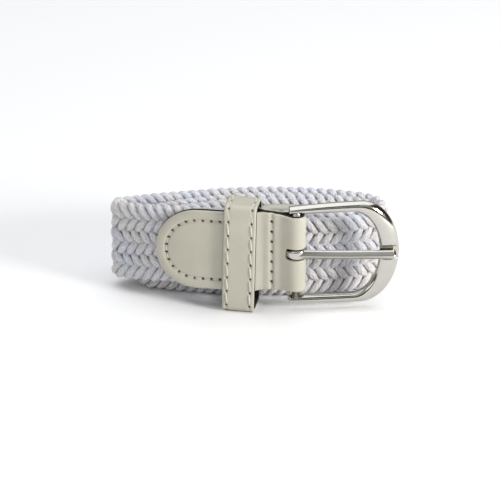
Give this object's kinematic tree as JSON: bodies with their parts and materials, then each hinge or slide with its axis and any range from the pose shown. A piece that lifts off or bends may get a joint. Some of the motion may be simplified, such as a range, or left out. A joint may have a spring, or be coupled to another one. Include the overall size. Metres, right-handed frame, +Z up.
{
  "type": "elastic stretch belt",
  "caption": "Braided elastic belt rolled up on its edge, with a leather buckle end, a loose keeper, a round-ended buckle with a prong, and a leather tip.",
  "frame": {"origin": "middle of the whole belt's footprint, on the surface that the roll stands on", "axes": "+X to the right along the flat roll, towards the buckle's round end; +Y to the back, away from the buckle; +Z up, across the band's width"},
  "size_m": [0.1014, 0.046, 0.0407],
  "materials": {
    "braid": "braided elastic strands, soft and matt",
    "leather": "smooth cream leather with a low sheen",
    "buckle_metal": "polished"
  },
  "bodies": {
    "belt": {"braided_band": "braid", "buckle_leather": "leather", "keeper_loop": "leather", "tip_leather": "leather"},
    "buckle": {"buckle_frame": "buckle_metal"},
    "tongue": {"prong": "buckle_metal"}
  },
  "joints": [
    {"name": "buckle_swing", "type": "hinge", "parent": "belt", "child": "buckle", "pos_m": [0.01453, -0.01919, 0.02255], "axis": [0, 0, -1], "range_deg": [0, 35]},
    {"name": "prong_swing", "type": "hinge", "parent": "buckle", "child": "tongue", "pos_m": [0.01453, -0.01919, 0.02255], "axis": [0, 0, -1], "range_deg": [0, 40]}
  ]
}
